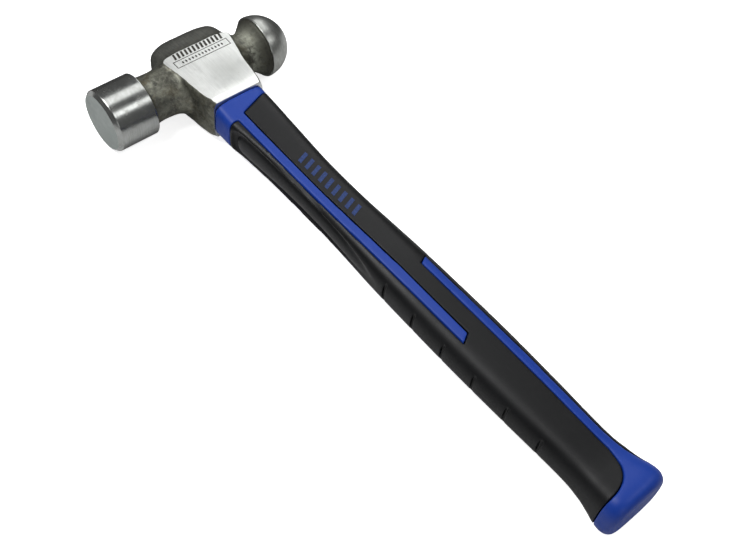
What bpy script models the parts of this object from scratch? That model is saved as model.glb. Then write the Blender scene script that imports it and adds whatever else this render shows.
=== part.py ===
"""Ball peen hammer with a fibreglass-cored, two-colour moulded handle.

The hammer lies on its side on the plane z = 0. X runs along the handle from the
head to the butt, Y along the head from the striking face to the ball, and Z is
the normal of the cheeks. All shapes are drawn around the point where the axis
of the head crosses the axis of the handle, and one empty carries them to the
middle of the box.
"""
import math

import bmesh
import bpy
from mathutils import Vector

MM = 0.001
GAP = 0.3                    # clearance between touching pieces
PAST = 30.0                  # a distance safely outside every section

# Head, along Y from the crossing point
FACE_Y = -61.3               # striking face
BALL_TIP_Y = 51.1            # top of the ball
BELL_RADIUS = 16.7
BELL_LENGTH = 23.5
FACE_CHAMFER = 1.6
BELL_SHOULDER = 0.8          # rounded back rim of the bell
BALL_RADIUS = 16.9
BALL_RIM_Y = 33.7            # back rim of the ball
BALL_RIM_EDGE = 0.5
CHEEK_Z = 13.0               # ground flats of the eye body
GROUND_HALF_Y = 25.6         # the grinding stops between the bell and the ball
HEAD_TOP_X = -22.5
SKIRT_END_X = 32.0

# Eye body of the forging: X, front half width, rear half width, half thickness, squareness
EYE_BODY = [
    (HEAD_TOP_X, 14.8, 15.8, 7.7, 3.2),
    (-21.5, 17.4, 18.6, 9.8, 3.6),
    (-18.4, 19.8, 21.1, 11.2, 4.0),
    (-10.2, 21.1, 22.4, 12.2, 4.8),
    (-4.1, 20.9, 21.9, 14.4, 6.5),
    (4.1, 19.9, 20.2, 14.3, 6.5),
    (14.3, 18.4, 17.2, 14.4, 7.5),
    (22.5, 17.5, 15.9, 14.4, 7.5),
    (28.0, 16.9, 15.6, 13.1, 7.0),
    (31.2, 16.2, 15.4, 12.4, 6.5),
    (SKIRT_END_X, 15.7, 15.0, 11.2, 5.5),
]

# Necks of the forging: Y, half width along X, half thickness
NECKS = [
    (-39.0, 14.4, 14.4),
    (-37.5, 13.7, 13.7),
    (-35.3, 12.9, 12.9),
    (-29.7, 12.6, 12.6),
    (-25.6, 12.9, 12.5),
    (-22.5, 13.8, 12.4),
    (-20.0, 15.6, 12.4),
    (-17.4, 16.4, 12.4),
    (17.4, 14.8, 12.0),
    (20.8, 13.5, 11.7),
    (22.9, 11.8, 11.3),
    (25.1, 11.0, 11.0),
    (28.1, 11.9, 11.9),
    (30.7, 13.9, 13.9),
    (33.1, 15.9, 15.9),
    (35.0, 16.1, 16.1),
]

# Oval eye through the head: X, half width, half thickness
EYE_HOLE = [(-23.5, 10.8, 7.4), (0.0, 9.8, 6.3), (33.7, 10.2, 6.7)]

# Handle
BUTT_END_X = 311.4
COLLAR_X = SKIRT_END_X + GAP
CORE_HALF_WIDTH = 6.3
CORE_HALF_THICK = 4.7
CORE_TOP_X = HEAD_TOP_X + 0.6
CORE_END_X = 296.5
BOND_TOP_X = HEAD_TOP_X + 1.0
SOFT_WALL_FRONT = 4.1        # black rubber over the front edge, which holds the flute
SOFT_WALL_REAR = 2.5         # over the rear edge
SOFT_WALL_SIDE = 2.5         # over the flat sides

# Outside of the handle: X, front half width, rear half width, half thickness, squareness
HANDLE = [
    (COLLAR_X, 15.2, 14.1, 11.0, 5.0),
    (37.0, 15.3, 14.0, 10.7, 5.0),
    (46.0, 15.4, 13.8, 10.2, 5.0),
    (65.4, 14.2, 12.8, 10.0, 4.6),
    (92.0, 13.1, 11.6, 9.8, 4.0),
    (118.6, 13.2, 11.7, 9.9, 3.8),
    (141.1, 14.3, 13.0, 10.4, 3.3),
    (163.6, 15.2, 14.3, 10.7, 3.0),
    (209.6, 15.6, 15.4, 10.8, 2.9),
    (245.4, 14.9, 14.9, 10.7, 2.9),
    (278.1, 13.9, 13.9, 10.6, 2.9),
    (290.4, 14.4, 14.6, 11.2, 3.0),
    (297.5, 15.6, 15.2, 12.9, 3.1),
    (302.1, 16.6, 16.2, 14.1, 3.2),
    (306.2, 16.9, 16.6, 14.5, 3.2),
    (309.0, 16.2, 16.0, 13.9, 3.1),
    (310.7, 14.7, 14.7, 12.4, 3.0),
    (BUTT_END_X, 12.6, 12.6, 10.4, 2.9),
]

# Seen on the cheek side, where the hard blue plastic reaches the surface
PANEL_CORNER = (42.7, -5.1)
FLUTE_CORNER = (45.2, -9.9)
FRONT_STRIPE = [(102.2, -5.4), (163.6, -4.1), (207.6, -3.9), (210.1, -8.4), (90.0, -9.7)]
REAR_STRIPE_OUTER = [(164.1, 9.8), (233.1, 10.6), (278.1, 10.0), (290.4, 10.6), (297.5, 12.3)]
REAR_STRIPE_INNER = [(166.5, 5.3), (214.7, 5.7), (245.0, 5.8), (286.3, 5.1)]
GRIP_END = [(292.9, 3.5), (297.0, 1.2), (300.4, -2.7), (302.3, -7.7), (302.7, -12.3)]
STRIPE_DEPTH_Z = 6.1         # the stripes are bars that reach down to this height

# Cross grooves on both edges of the grip
NOTCH_COUNT = 6
NOTCH_FIRST_X = 164.0
NOTCH_PITCH = 20.2
NOTCH_WIDTH = 1.6
NOTCH_DEPTH = 1.6

# Hollow along the front of the handle: X, half height, depth
FLUTE = [(46.2, 2.5, 0.2), (49.0, 8.2, 2.1), (54.0, 9.0, 2.4), (66.0, 8.3, 2.5), (87.0, 7.3, 2.5),
         (118.0, 6.9, 2.5), (138.0, 6.8, 2.0), (152.0, 5.8, 1.0), (161.6, 4.0, 0.1)]
FLUTE_SQUARENESS = 2.7

# Crowned rib left standing in it: X, half height, crown, depth under the outside of the grip
RIB = [(49.0, 1.5, 1.0, 1.9), (50.0, 3.8, 2.4, 0.9), (52.5, 5.8, 3.2, 0.35), (58.0, 6.4, 3.4, 0.25),
       (66.0, 6.0, 3.4, 0.2), (87.0, 5.2, 3.4, 0.2), (118.0, 4.8, 3.4, 0.2), (140.0, 4.8, 3.4, 0.2),
       (170.0, 4.6, 3.4, 0.2)]

# Crests between the stripes and the hollow, where the corners of the grip are fuller
RIDGE_START_X = 52.0
RIDGE_END_X = 154.0
RIDGE_RUN_OUT = 25.0
RIDGE_INNER_Y = 10.3
RIDGE_WIDTH = 2.4
RIDGE_SLOPE = 0.6
RIDGE_INSET = 0.35           # from the front of the grip to the outer side of a crest
RIDGE_ROOT = 4.0             # how deep a crest's body reaches into the grip

RING_POINTS = 48
LATHE_STEPS = 56


def material(name, colour, metallic, roughness):
    mat = bpy.data.materials.new(name)
    mat.use_nodes = True
    shader = mat.node_tree.nodes["Principled BSDF"]
    shader.inputs["Base Color"].default_value = (*colour, 1.0)
    shader.inputs["Metallic"].default_value = metallic
    shader.inputs["Roughness"].default_value = roughness
    return mat


def catmull(p0, p1, p2, p3, t):
    return 0.5 * (2 * p1 + (p2 - p0) * t + (2 * p0 - 5 * p1 + 4 * p2 - p3) * t * t
                  + (3 * p1 - p0 - 3 * p2 + p3) * t ** 3)


def smooth_rows(rows, steps):
    """Rows of numbers, with a smooth curve's rows put between them."""
    out = []
    for i in range(len(rows) - 1):
        before = rows[max(i - 1, 0)]
        after = rows[min(i + 2, len(rows) - 1)]
        for k in range(steps):
            t = k / steps
            out.append([catmull(*values, t) for values in zip(before, rows[i], rows[i + 1], after)])
    out.append(list(rows[-1]))
    return out


def section(x, front, rear, thick, squareness, count=RING_POINTS):
    """Rounded section across X: front is the -Y half width, rear the +Y one."""
    ring = []
    for i in range(count):
        angle = 2 * math.pi * i / count
        across = math.copysign(abs(math.cos(angle)) ** (2 / squareness), math.cos(angle))
        up = math.copysign(abs(math.sin(angle)) ** (2 / squareness), math.sin(angle))
        ring.append((x, across * (rear if across > 0 else front), up * thick))
    return ring


def mesh_object(name, bm, mat=None):
    """Turn a bmesh drawn in millimetres into an object in metres."""
    bmesh.ops.scale(bm, vec=(MM, MM, MM), verts=bm.verts)
    bmesh.ops.recalc_face_normals(bm, faces=bm.faces)
    mesh = bpy.data.meshes.new(name)
    bm.to_mesh(mesh)
    bm.free()
    obj = bpy.data.objects.new(name, mesh)
    bpy.context.scene.collection.objects.link(obj)
    if mat:
        mesh.materials.append(mat)
        mesh.shade_smooth()
        mesh.set_sharp_from_angle(angle=math.radians(32))
    return obj


def loft(name, rings, mat=None):
    """Closed solid through rings with the same number of points."""
    bm = bmesh.new()
    rows = [[bm.verts.new(point) for point in ring] for ring in rings]
    count = len(rows[0])
    for lower, upper in zip(rows, rows[1:]):
        for i in range(count):
            j = (i + 1) % count
            bm.faces.new((lower[i], lower[j], upper[j], upper[i]))
    bm.faces.new(rows[0])
    bm.faces.new(rows[-1])
    return mesh_object(name, bm, mat)


def prism(name, outlines, bottom, top):
    """Closed straight solids over outlines in the XY plane."""
    bm = bmesh.new()
    for outline in outlines:
        base = bm.faces.new([bm.verts.new((x, y, bottom)) for x, y in outline])
        grown_faces = bmesh.ops.extrude_face_region(bm, geom=[base])["geom"]
        moved = [item for item in grown_faces if isinstance(item, bmesh.types.BMVert)]
        bmesh.ops.translate(bm, vec=(0, 0, top - bottom), verts=moved)
    return mesh_object(name, bm)


def turned(name, profile):
    """Solid turned about Y from (y, radius) points that start and end on the axis."""
    bm = bmesh.new()
    points = [bm.verts.new((radius, y, 0)) for y, radius in profile]
    edges = [bm.edges.new(pair) for pair in zip(points, points[1:])]
    bmesh.ops.spin(bm, geom=points + edges, cent=(0, 0, 0), axis=(0, 1, 0),
                   angle=2 * math.pi, steps=LATHE_STEPS, use_merge=True)
    bmesh.ops.remove_doubles(bm, verts=bm.verts, dist=0.0001)
    return mesh_object(name, bm)


def cut(target, cutter, operation="DIFFERENCE"):
    """Boolean modifier with a hidden helper solid."""
    modifier = target.modifiers.new(cutter.name, "BOOLEAN")
    modifier.operation = operation
    modifier.object = cutter
    modifier.solver = "EXACT"
    cutter.hide_render = True
    cutter.display_type = "WIRE"


def arc(centre, radius, start, end, count):
    """Points (a, b) of an arc, with angles in degrees."""
    points = []
    for i in range(count + 1):
        angle = math.radians(start + (end - start) * i / count)
        points.append((centre[0] + radius * math.cos(angle), centre[1] + radius * math.sin(angle)))
    return points


def outward(outline, gap):
    """A closed outline moved outward, all its corners kept sharp."""
    area = sum(a[0] * b[1] - b[0] * a[1] for a, b in zip(outline, outline[1:] + outline[:1]))
    side = math.copysign(1, area)
    moved = []
    for i, corner in enumerate(outline):
        here = Vector(corner)
        before = (here - Vector(outline[i - 1])).normalized()
        after = (Vector(outline[(i + 1) % len(outline)]) - here).normalized()
        normal_a = Vector((before.y, -before.x)) * side
        normal_b = Vector((after.y, -after.x)) * side
        shift = (normal_a + normal_b) * (gap / (1 + normal_a.dot(normal_b)))
        moved.append((here.x + shift.x, here.y + shift.y))
    return moved


def oval(x, half_width, half_thick, count=32):
    return section(x, half_width, half_width, half_thick, 2.0, count)


def bell():
    back = FACE_Y + BELL_LENGTH
    profile = [(FACE_Y, 0), (FACE_Y, BELL_RADIUS - FACE_CHAMFER),
               (FACE_Y + FACE_CHAMFER, BELL_RADIUS)]
    profile += arc((back - BELL_SHOULDER, BELL_RADIUS - BELL_SHOULDER), BELL_SHOULDER, 90, 0, 3)
    return turned("bell", [*profile, (back, 0)])


def ball():
    """More than a hemisphere, with a crisp back rim."""
    centre = BALL_TIP_Y - BALL_RADIUS
    rim_angle = math.degrees(math.acos((BALL_RIM_Y + BALL_RIM_EDGE - centre) / BALL_RADIUS))
    rim_radius = BALL_RADIUS * math.sin(math.radians(rim_angle))
    profile = arc((centre, 0), BALL_RADIUS, rim_angle, 0, 12)
    profile[-1] = (BALL_TIP_Y, 0)
    return turned("ball", [(BALL_RIM_Y, 0), (BALL_RIM_Y, rim_radius - BALL_RIM_EDGE), *profile])


def necks():
    """Oval necks that flare along X where they run into the eye body."""
    turns = [2 * math.pi * i / LATHE_STEPS for i in range(LATHE_STEPS)]
    rings = [[(width * math.cos(a), y, thick * math.sin(a)) for a in turns]
             for y, width, thick in smooth_rows(NECKS, 2)]
    return loft("necks", rings)


def hammer_head(steel):
    """Drop forging: bell, necks and ball, joined to the ground eye body."""
    body = loft("hammer_head", [section(*row) for row in smooth_rows(EYE_BODY, 2)], steel)
    for part in (necks(), bell(), ball()):
        cut(body, part, "UNION")
    ground = [(-PAST, -GROUND_HALF_Y), (PAST + SKIRT_END_X, -GROUND_HALF_Y),
              (PAST + SKIRT_END_X, GROUND_HALF_Y), (-PAST, GROUND_HALF_Y)]
    cut(body, prism("upper_grinding", [ground], CHEEK_Z, PAST))
    cut(body, prism("lower_grinding", [ground], -PAST, -CHEEK_Z))
    cut(body, loft("eye_hole", [oval(*row) for row in EYE_HOLE]))
    return body


def eye_bond(resin):
    """Epoxy that locks the core in the eye."""
    def eye_at(x):
        for (x0, w0, t0), (x1, w1, t1) in zip(EYE_HOLE, EYE_HOLE[1:]):
            if x <= x1:
                t = (x - x0) / (x1 - x0)
                return w0 + (w1 - w0) * t - GAP, t0 + (t1 - t0) * t - GAP
    stations = [BOND_TOP_X, 0.0, SKIRT_END_X]
    bond = loft("eye_bond", [oval(x, *eye_at(x)) for x in stations], resin)
    cut(bond, core_shape("bond_bore", BOND_TOP_X - 5, SKIRT_END_X + 5, GAP))
    return bond


def core_shape(name, start, end, grow, mat=None):
    """The oval fibreglass rod, or a hole that fits round it."""
    size = (CORE_HALF_WIDTH + grow, CORE_HALF_THICK + grow)
    return loft(name, [oval(start, *size), oval(end, *size)], mat)


def handle_outside(name, mat):
    return loft(name, [section(*row) for row in smooth_rows(HANDLE, 2)], mat)


def under_rubber(name, grow):
    """The blue sleeve below the rubber: the outside with the rubber's layer taken off."""
    rings = []
    for x, front, rear, thick, squareness in smooth_rows(HANDLE, 2):
        rings.append(section(x, front - SOFT_WALL_FRONT + grow, rear - SOFT_WALL_REAR + grow,
                             thick - SOFT_WALL_SIDE + grow, squareness))
    return loft(name, rings)


def blue_areas(name, grow):
    """Tall solids over the areas where the blue plastic reaches the surface."""
    collar = [(COLLAR_X - 5, PAST), (36.8, PAST), (36.8, 12.3), PANEL_CORNER, FLUTE_CORNER,
              (44.6, -12.3), (44.6, -PAST), (COLLAR_X - 5, -PAST)]
    butt = [(BUTT_END_X + 5, PAST), (305.2, PAST), (303.7, 14.8), REAR_STRIPE_OUTER[-1],
            *smooth_rows([REAR_STRIPE_INNER[-1], *GRIP_END], 3), (302.1, -PAST),
            (BUTT_END_X + 5, -PAST)]
    front = [(COLLAR_X, -5.1), *FRONT_STRIPE, FLUTE_CORNER, (COLLAR_X, -10.1)]
    rear = [(BUTT_END_X, 12.3), *reversed(REAR_STRIPE_OUTER), *REAR_STRIPE_INNER,
            (BUTT_END_X, 4.5)]
    areas = prism(name, [outward(outline, grow) for outline in (collar, butt)], -PAST, PAST)
    stripes = [outward(outline, grow) for outline in (front, rear)]
    reach = STRIPE_DEPTH_Z - grow
    cut(areas, prism(name + "_upper_stripes", stripes, reach, PAST - 1), "UNION")
    cut(areas, prism(name + "_lower_stripes", stripes, 1 - PAST, -reach), "UNION")
    return areas


def blue_jacket(plastic):
    """Hard sleeve moulded on the core, with the collar, the stripes and the butt."""
    jacket = handle_outside("blue_jacket", plastic)
    cut(jacket, blue_areas("blue_areas", 0), "INTERSECT")
    cut(jacket, under_rubber("jacket_under_rubber", 0), "UNION")
    cut(jacket, core_shape("jacket_bore", COLLAR_X - 5, CORE_END_X + GAP, GAP))
    return jacket


def soft_grip(rubber):
    """Black overmoulding with side panels, front hollow and cross grooves."""
    grip = handle_outside("soft_grip", rubber)
    cut(grip, ridges(), "UNION")
    cut(grip, blue_areas("room_for_blue", GAP))
    cut(grip, under_rubber("room_for_jacket", GAP))
    cut(grip, notches())
    cut(grip, flute())
    return grip


def half_widths(x):
    """Front and rear half width of the handle at x."""
    rows = smooth_rows(HANDLE, 6)
    for low, high in zip(rows, rows[1:]):
        if x <= high[0]:
            t = (x - low[0]) / (high[0] - low[0])
            return low[1] + (high[1] - low[1]) * t, low[2] + (high[2] - low[2]) * t


def notches():
    """Cutters for the cross grooves, straight across both edges of the grip."""
    outlines = []
    for i in range(NOTCH_COUNT):
        x = NOTCH_FIRST_X + NOTCH_PITCH * i
        left, right = x - NOTCH_WIDTH / 2, x + NOTCH_WIDTH / 2
        front, rear = half_widths(x)
        for edge, sign in ((front, -1), (rear, 1)):
            floor = sign * (edge - NOTCH_DEPTH)
            outlines.append([(left, floor), (right, floor), (right + 0.3, sign * PAST),
                             (left - 0.3, sign * PAST)])
    return prism("grip_notches", outlines, -PAST / 2, PAST / 2)


def flute():
    """Cutter for the long hollow, which leaves a crowned rib standing in its middle."""
    hollow = []
    rib = []
    for x, height, depth in smooth_rows(FLUTE, 3):
        middle = -half_widths(x)[0] - 1.0
        ring = section(x, depth + 1.0, depth + 1.0, height, FLUTE_SQUARENESS, 24)
        hollow.append([(x, middle + y, z) for _, y, z in ring])
    for x, height, crown, under in smooth_rows(RIB, 3):
        middle = -half_widths(x)[0] + crown + under
        ring = section(x, crown, crown, height, 2.2, 24)
        rib.append([(x, middle + y, z) for _, y, z in ring])
    cutter = loft("front_hollow", hollow)
    cut(cutter, loft("rib", rib))
    return cutter


def ridges():
    """Crests on both sides of the hollow, running out into the grip."""
    rows = [row for row in smooth_rows(HANDLE, 6) if RIDGE_START_X < row[0] < RIDGE_END_X]
    sides = []
    for side in (1, -1):
        rings = []
        for x, front, _, thick, power in rows:
            inner = RIDGE_INNER_Y
            outer = min(inner + RIDGE_WIDTH, front - RIDGE_INSET)
            z_inner = thick * (1 - (inner / front) ** power) ** (1 / power)
            z_outer = thick * (1 - (outer / front) ** power) ** (1 / power)
            fade = min(1.0, (RIDGE_END_X - x) / RIDGE_RUN_OUT)
            z_outer += fade * max(0.0, z_inner - RIDGE_SLOPE * (outer - inner) - z_outer)
            ring = [(-inner, z_inner), (-outer, z_outer), (-outer, z_outer - RIDGE_ROOT),
                    (2 - inner, z_inner - RIDGE_ROOT)]
            rings.append([(x, y, z * side) for y, z in ring])
        sides.append(loft("ridge", rings))
    cut(sides[0], sides[1], "UNION")
    return sides[0]


def main():
    for obj in list(bpy.data.objects):
        bpy.data.objects.remove(obj, do_unlink=True)
    steel = material("forged_steel", (0.36, 0.36, 0.35), 1.0, 0.32)
    glass = material("fibreglass", (0.72, 0.66, 0.45), 0.0, 0.55)
    resin = material("epoxy_resin", (0.06, 0.05, 0.04), 0.0, 0.35)
    plastic = material("blue_plastic", (0.026, 0.07, 0.40), 0.0, 0.38)
    rubber = material("black_rubber", (0.018, 0.018, 0.019), 0.0, 0.62)

    frame = bpy.data.objects.new("hammer", None)
    bpy.context.scene.collection.objects.link(frame)
    frame.location = (-(HEAD_TOP_X + BUTT_END_X) / 2 * MM, -(FACE_Y + BALL_TIP_Y) / 2 * MM,
                      BALL_RADIUS * MM)
    hammer_head(steel)
    core_shape("fibreglass_core", CORE_TOP_X, CORE_END_X, 0, glass)
    eye_bond(resin)
    blue_jacket(plastic)
    soft_grip(rubber)
    for obj in bpy.data.objects:
        if obj is not frame:
            obj.parent = frame


main()
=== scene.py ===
"""Looks of the ball peen hammer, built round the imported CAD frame.

The head, the blue jacket and the black grip are rebuilt here as finer meshes of
the same shape, with forged fillets, moulded edges and stamped marks. The core and
its resin keep their CAD meshes. Shapes are drawn in millimetres round the point
where the axis of the head (Y) crosses the axis of the handle (X), and are then
placed in the frame.
"""
import math

import bmesh
import bpy
import numpy as np
from mathutils import Matrix, Vector, noise


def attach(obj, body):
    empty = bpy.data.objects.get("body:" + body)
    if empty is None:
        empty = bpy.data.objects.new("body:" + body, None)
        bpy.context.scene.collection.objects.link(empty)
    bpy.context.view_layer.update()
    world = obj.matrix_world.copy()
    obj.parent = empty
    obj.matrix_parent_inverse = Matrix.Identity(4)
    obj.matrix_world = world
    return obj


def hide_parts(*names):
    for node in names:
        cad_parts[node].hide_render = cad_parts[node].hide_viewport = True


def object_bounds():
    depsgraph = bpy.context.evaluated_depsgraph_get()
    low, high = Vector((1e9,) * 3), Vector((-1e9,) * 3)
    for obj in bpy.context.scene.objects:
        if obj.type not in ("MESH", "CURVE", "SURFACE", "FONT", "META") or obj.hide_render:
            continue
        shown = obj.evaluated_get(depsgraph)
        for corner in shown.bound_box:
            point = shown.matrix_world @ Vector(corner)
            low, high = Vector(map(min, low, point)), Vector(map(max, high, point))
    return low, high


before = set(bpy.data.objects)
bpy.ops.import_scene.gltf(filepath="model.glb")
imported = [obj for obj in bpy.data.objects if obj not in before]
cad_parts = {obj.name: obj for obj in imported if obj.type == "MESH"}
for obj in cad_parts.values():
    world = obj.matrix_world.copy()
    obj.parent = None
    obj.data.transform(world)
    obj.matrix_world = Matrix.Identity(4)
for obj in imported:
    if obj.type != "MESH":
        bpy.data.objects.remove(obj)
cad_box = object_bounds()

MM = 0.001
GAP = 0.45                    # seam between blue plastic and black rubber
PAST = 30.0                   # a distance safely outside every section

# Head
FACE_Y = -61.3
BALL_TIP_Y = 51.1
BELL_RADIUS = 16.7
BELL_BACK_Y = -37.8
BELL_BACK_ROUND = 0.8
FACE_CHAMFER = 1.6
FACE_DOME = 0.2               # how far the rim of the striking face lies behind its middle
FACE_CORNER = 0.35            # rounding between the face and its chamfer
BELL_CORNER = 0.9             # rounding between the chamfer and the side of the bell
BALL_RADIUS = 16.9
BALL_RIM_Y = 33.7
BALL_RIM_BREAK = 0.35
CHEEK_Z = 13.0
GROUND_HALF_Y = 25.6
HEAD_TOP_X = -22.5
SKIRT_END_X = 32.0
BEVEL_X = 28.2                # the skirt's last millimetres are ground at a slope,
BEVEL_BREAK = (31.75, 12.2)   # X and Z where its edge is broken more steeply
BEVEL_END_Z = 11.6
BEVEL_SPLIT_Z = -0.1          # where its upper and lower cutters meet, off the middle plane

# Eye body of the forging: X, front half width, rear half width, half thickness, squareness
EYE_BODY = [
    (HEAD_TOP_X, 14.8, 15.8, 7.7, 3.2),
    (-21.5, 17.4, 18.6, 9.8, 3.6),
    (-18.4, 19.8, 21.1, 11.2, 4.0),
    (-10.2, 21.3, 22.4, 12.3, 5.2),
    (-6.8, 21.4, 22.3, 14.2, 7.0),
    (-3.4, 21.0, 21.7, 14.6, 7.0),
    (4.1, 19.9, 20.2, 14.4, 7.0),
    (14.3, 18.4, 17.2, 14.4, 7.5),
    (22.5, 17.5, 15.9, 14.4, 7.5),
    (28.0, 16.7, 15.5, 14.2, 6.5),
    (SKIRT_END_X, 15.6, 14.8, 13.6, 5.5),
    (SKIRT_END_X + 1.5, 15.3, 14.5, 13.4, 5.5),
]
# Necks of the forging: Y, half width along X, half thickness
NECKS = [
    (-40.5, 14.4, 14.4),
    (-37.5, 13.7, 13.7),
    (-35.3, 12.9, 12.9),
    (-29.7, 12.6, 12.6),
    (-25.6, 12.9, 12.5),
    (-22.5, 13.8, 12.4),
    (-20.0, 15.6, 12.4),
    (-17.4, 16.4, 12.4),
    (17.4, 14.8, 12.0),
    (20.8, 13.5, 11.7),
    (22.9, 11.8, 11.3),
    (25.1, 11.0, 11.0),
    (28.1, 11.9, 11.9),
    (30.7, 13.9, 13.9),
    (33.1, 15.9, 15.9),
    (35.8, 16.1, 16.1),
]
# Hole for the handle: X, half width, half thickness
EYE_HOLE = [(-23.5, 10.8, 7.4), (0.0, 9.8, 6.3), (33.7, 10.2, 6.7)]

# Where the necks blend into the eye body: from, to, width of the shoulders
FRONT_JUNCTION_Y = (-25.0, -16.5, 3.5)
REAR_JUNCTION_Y = (18.0, 24.5, 2.5)
# Kept out of that: the crown and the skirt by their distance from Y, the cheeks by their height
CROWN_REACH = (18.5, 90.0, 3.5)
CHEEK_REACH = (12.6, 90.0, 1.2)

# Skin of the forging: waves in each millimetre, and height, of its dents and of its scale
DENT_RATE = 0.16
DENT_HEIGHT = 0.16
SCALE_RATE = 0.55
SCALE_HEIGHT = 0.07
SKIN_SINK = 0.03

# Marks stamped in the upper cheek
STAMP_DEPTH = 0.35
STAMP_LINE = 0.42
STAMP_JOIN = 0.02             # keeps the four lines of the frame from sharing an edge
STAMP_FRAME = (-3.4, -15.6, 1.6, 17.2)    # lowest X and Y, highest X and Y
STAMP_COUNT = 13              # lozenges in the frame, and bars over it
LOZENGE_FIRST_Y = -11.0
LOZENGE_PITCH = 2.0
LOZENGE_X = (-2.0, -0.9, 0.2)
LOZENGE_HALF_WIDTH = 0.6
BAR_FIRST_Y = -13.6
BAR_PITCH = 2.35
BAR_X = (-8.3, -4.2)
BAR_TOP_Y = (0.7, 1.9)        # both ends of a bar, from its first corner
BAR_FOOT_Y = (0.0, 1.3)

# Handle: X, front half width, rear half width, half thickness, squareness
BUTT_END_X = 311.4
COLLAR_X = 32.3
CORE_END_X = 296.8
CORE_HALF_WIDTH = 6.3
CORE_HALF_THICK = 4.7
SOFT_WALL_FRONT = 4.1
SOFT_WALL_REAR = 2.5
SOFT_WALL_SIDE = 2.5
HANDLE = [
    (COLLAR_X, 15.2, 14.1, 11.0, 5.0),
    (37.0, 15.3, 14.0, 10.7, 5.0),
    (46.0, 15.4, 13.8, 10.2, 5.0),
    (65.4, 14.2, 12.8, 10.0, 4.6),
    (92.0, 13.1, 11.6, 9.8, 4.0),
    (118.6, 13.2, 11.7, 9.9, 3.8),
    (141.1, 14.3, 13.0, 10.4, 3.3),
    (163.6, 15.2, 14.3, 10.7, 2.9),
    (209.6, 15.6, 15.4, 10.8, 2.65),
    (245.4, 14.9, 14.9, 10.7, 2.65),
    (278.1, 13.9, 13.9, 10.6, 2.7),
    (290.4, 14.4, 14.6, 11.2, 3.0),
    (297.5, 15.6, 15.2, 12.9, 3.1),
    (302.1, 16.6, 16.2, 14.1, 3.2),
    (306.2, 16.9, 16.6, 14.5, 3.2),
    (309.0, 16.2, 16.0, 13.9, 3.1),
    (310.7, 14.7, 14.7, 12.4, 3.0),
    (BUTT_END_X, 12.6, 12.6, 10.4, 2.9),
]
# Borders of the blue areas: X, Y
COLLAR_REAR_EDGE = [(36.8, PAST), (36.8, 12.3)]
COLLAR_FRONT_EDGE = [(44.6, -12.3), (44.6, -PAST)]
BUTT_REAR_EDGE = [(305.2, PAST), (303.7, 14.8)]
BUTT_FRONT_EDGE_X = 302.1
PANEL_CORNER = (42.7, -5.1)
FLUTE_CORNER = (45.2, -9.9)
FRONT_STRIPE = [(102.2, -5.4), (163.6, -4.1), (207.6, -3.9), (210.1, -8.4), (90.0, -9.7)]
REAR_STRIPE_OUTER = [(164.1, 9.8), (233.1, 10.6), (278.1, 10.0), (290.4, 10.6), (297.5, 12.3)]
REAR_STRIPE_INNER = [(166.5, 5.3), (214.7, 5.7), (245.0, 5.8), (286.3, 5.1)]
GRIP_END = [(292.9, 3.5), (297.0, 1.2), (300.4, -2.7), (302.3, -7.7), (302.7, -12.3)]
STRIPE_DEPTH_Z = 6.1          # the stripes go in from both broad sides to this height
MARK_COUNT = 9                # slanted bars along the broad sides of the grip
MARK_FIRST_X = 83.5
MARK_PITCH = 5.1
MARK_WIDTH = 2.3
MARK_SLANT = -2.2
MARK_LOW_Y = -2.4
MARK_HIGH_Y = 3.9
MARK_DRIFT = 0.03             # each bar lies this much further to the rear
MARK_DEPTH_Z = 8.8
MARK_PROUD = 0.10
NOTCH_COUNT = 6
NOTCH_FIRST_X = 164.0
NOTCH_PITCH = 20.2
NOTCH_WIDTH = 1.6
NOTCH_DEPTH = 1.6
NOTCH_FLARE = 0.3
# Hollow along the front of the handle: X, half height, depth
FLUTE = [(46.2, 2.5, 0.2), (47.0, 6.0, 1.6), (49.0, 8.2, 2.2), (54.0, 9.0, 2.6),
         (66.0, 8.3, 2.8), (87.0, 7.4, 2.8), (118.0, 7.0, 2.8), (134.0, 6.8, 2.3),
         (146.0, 6.0, 1.3), (154.0, 4.6, 0.5), (159.0, 3.2, 0.1)]
FLUTE_SQUARENESS = 3.0
FLUTE_PROUD = 1.0             # how far the middle of its section lies outside the grip
# Crowned rib left standing in it: X, half height, crown, depth under the outside of the grip
RIB = [(49.0, 1.5, 1.0, 1.9), (50.0, 4.2, 2.6, 0.9), (52.5, 6.3, 3.2, 0.35),
       (58.0, 6.9, 3.4, 0.25), (66.0, 6.5, 3.4, 0.2), (87.0, 5.6, 3.4, 0.2),
       (118.0, 5.2, 3.4, 0.2), (134.0, 5.2, 3.4, 0.25), (148.0, 4.6, 3.0, 0.7),
       (158.0, 3.4, 2.2, 1.2), (166.0, 2.4, 1.4, 1.8)]
RIB_SQUARENESS = 2.2
# Crests beside the hollow
RIDGE_START_X = 52.0
RIDGE_END_X = 154.0
RIDGE_INNER_Y = 9.5
RIDGE_WIDTH = 3.2
RIDGE_SLOPE = 0.56
RIDGE_FADE = 50.0             # they sink into the grip over this length
RIDGE_INSET = 0.35
RIDGE_ROOT = 4.0
# Evened out more than the rest of the grip: from, to, width of the shoulders
STRIPE_SIDE_X = (50.0, 156.0, 4.0)
STRIPE_SIDE_Y = (-16.0, -10.8, 0.4)
RUN_OUT_X = (136.0, 159.0, 3.0)
RUN_OUT_Y = (-PAST, -10.6, 0.4)

# Fineness of the meshes
HEAD_VOXEL = 0.55
JACKET_VOXEL = 0.42
GRIP_VOXEL = 0.32
KEPT_FACES = 0.3
RELAX_STEP = 0.5
RELAX_BACK = 0.52             # slightly more than the step: it undoes the shrinking
FINE_STEPS = 12               # sections put in for each row of the handle
COARSE_STEPS = 6
HEAD_SHARP = 34               # edges steeper than this many degrees are shaded sharp
MOULDED_SHARP = 60
MARK_SHARP = 40

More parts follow.
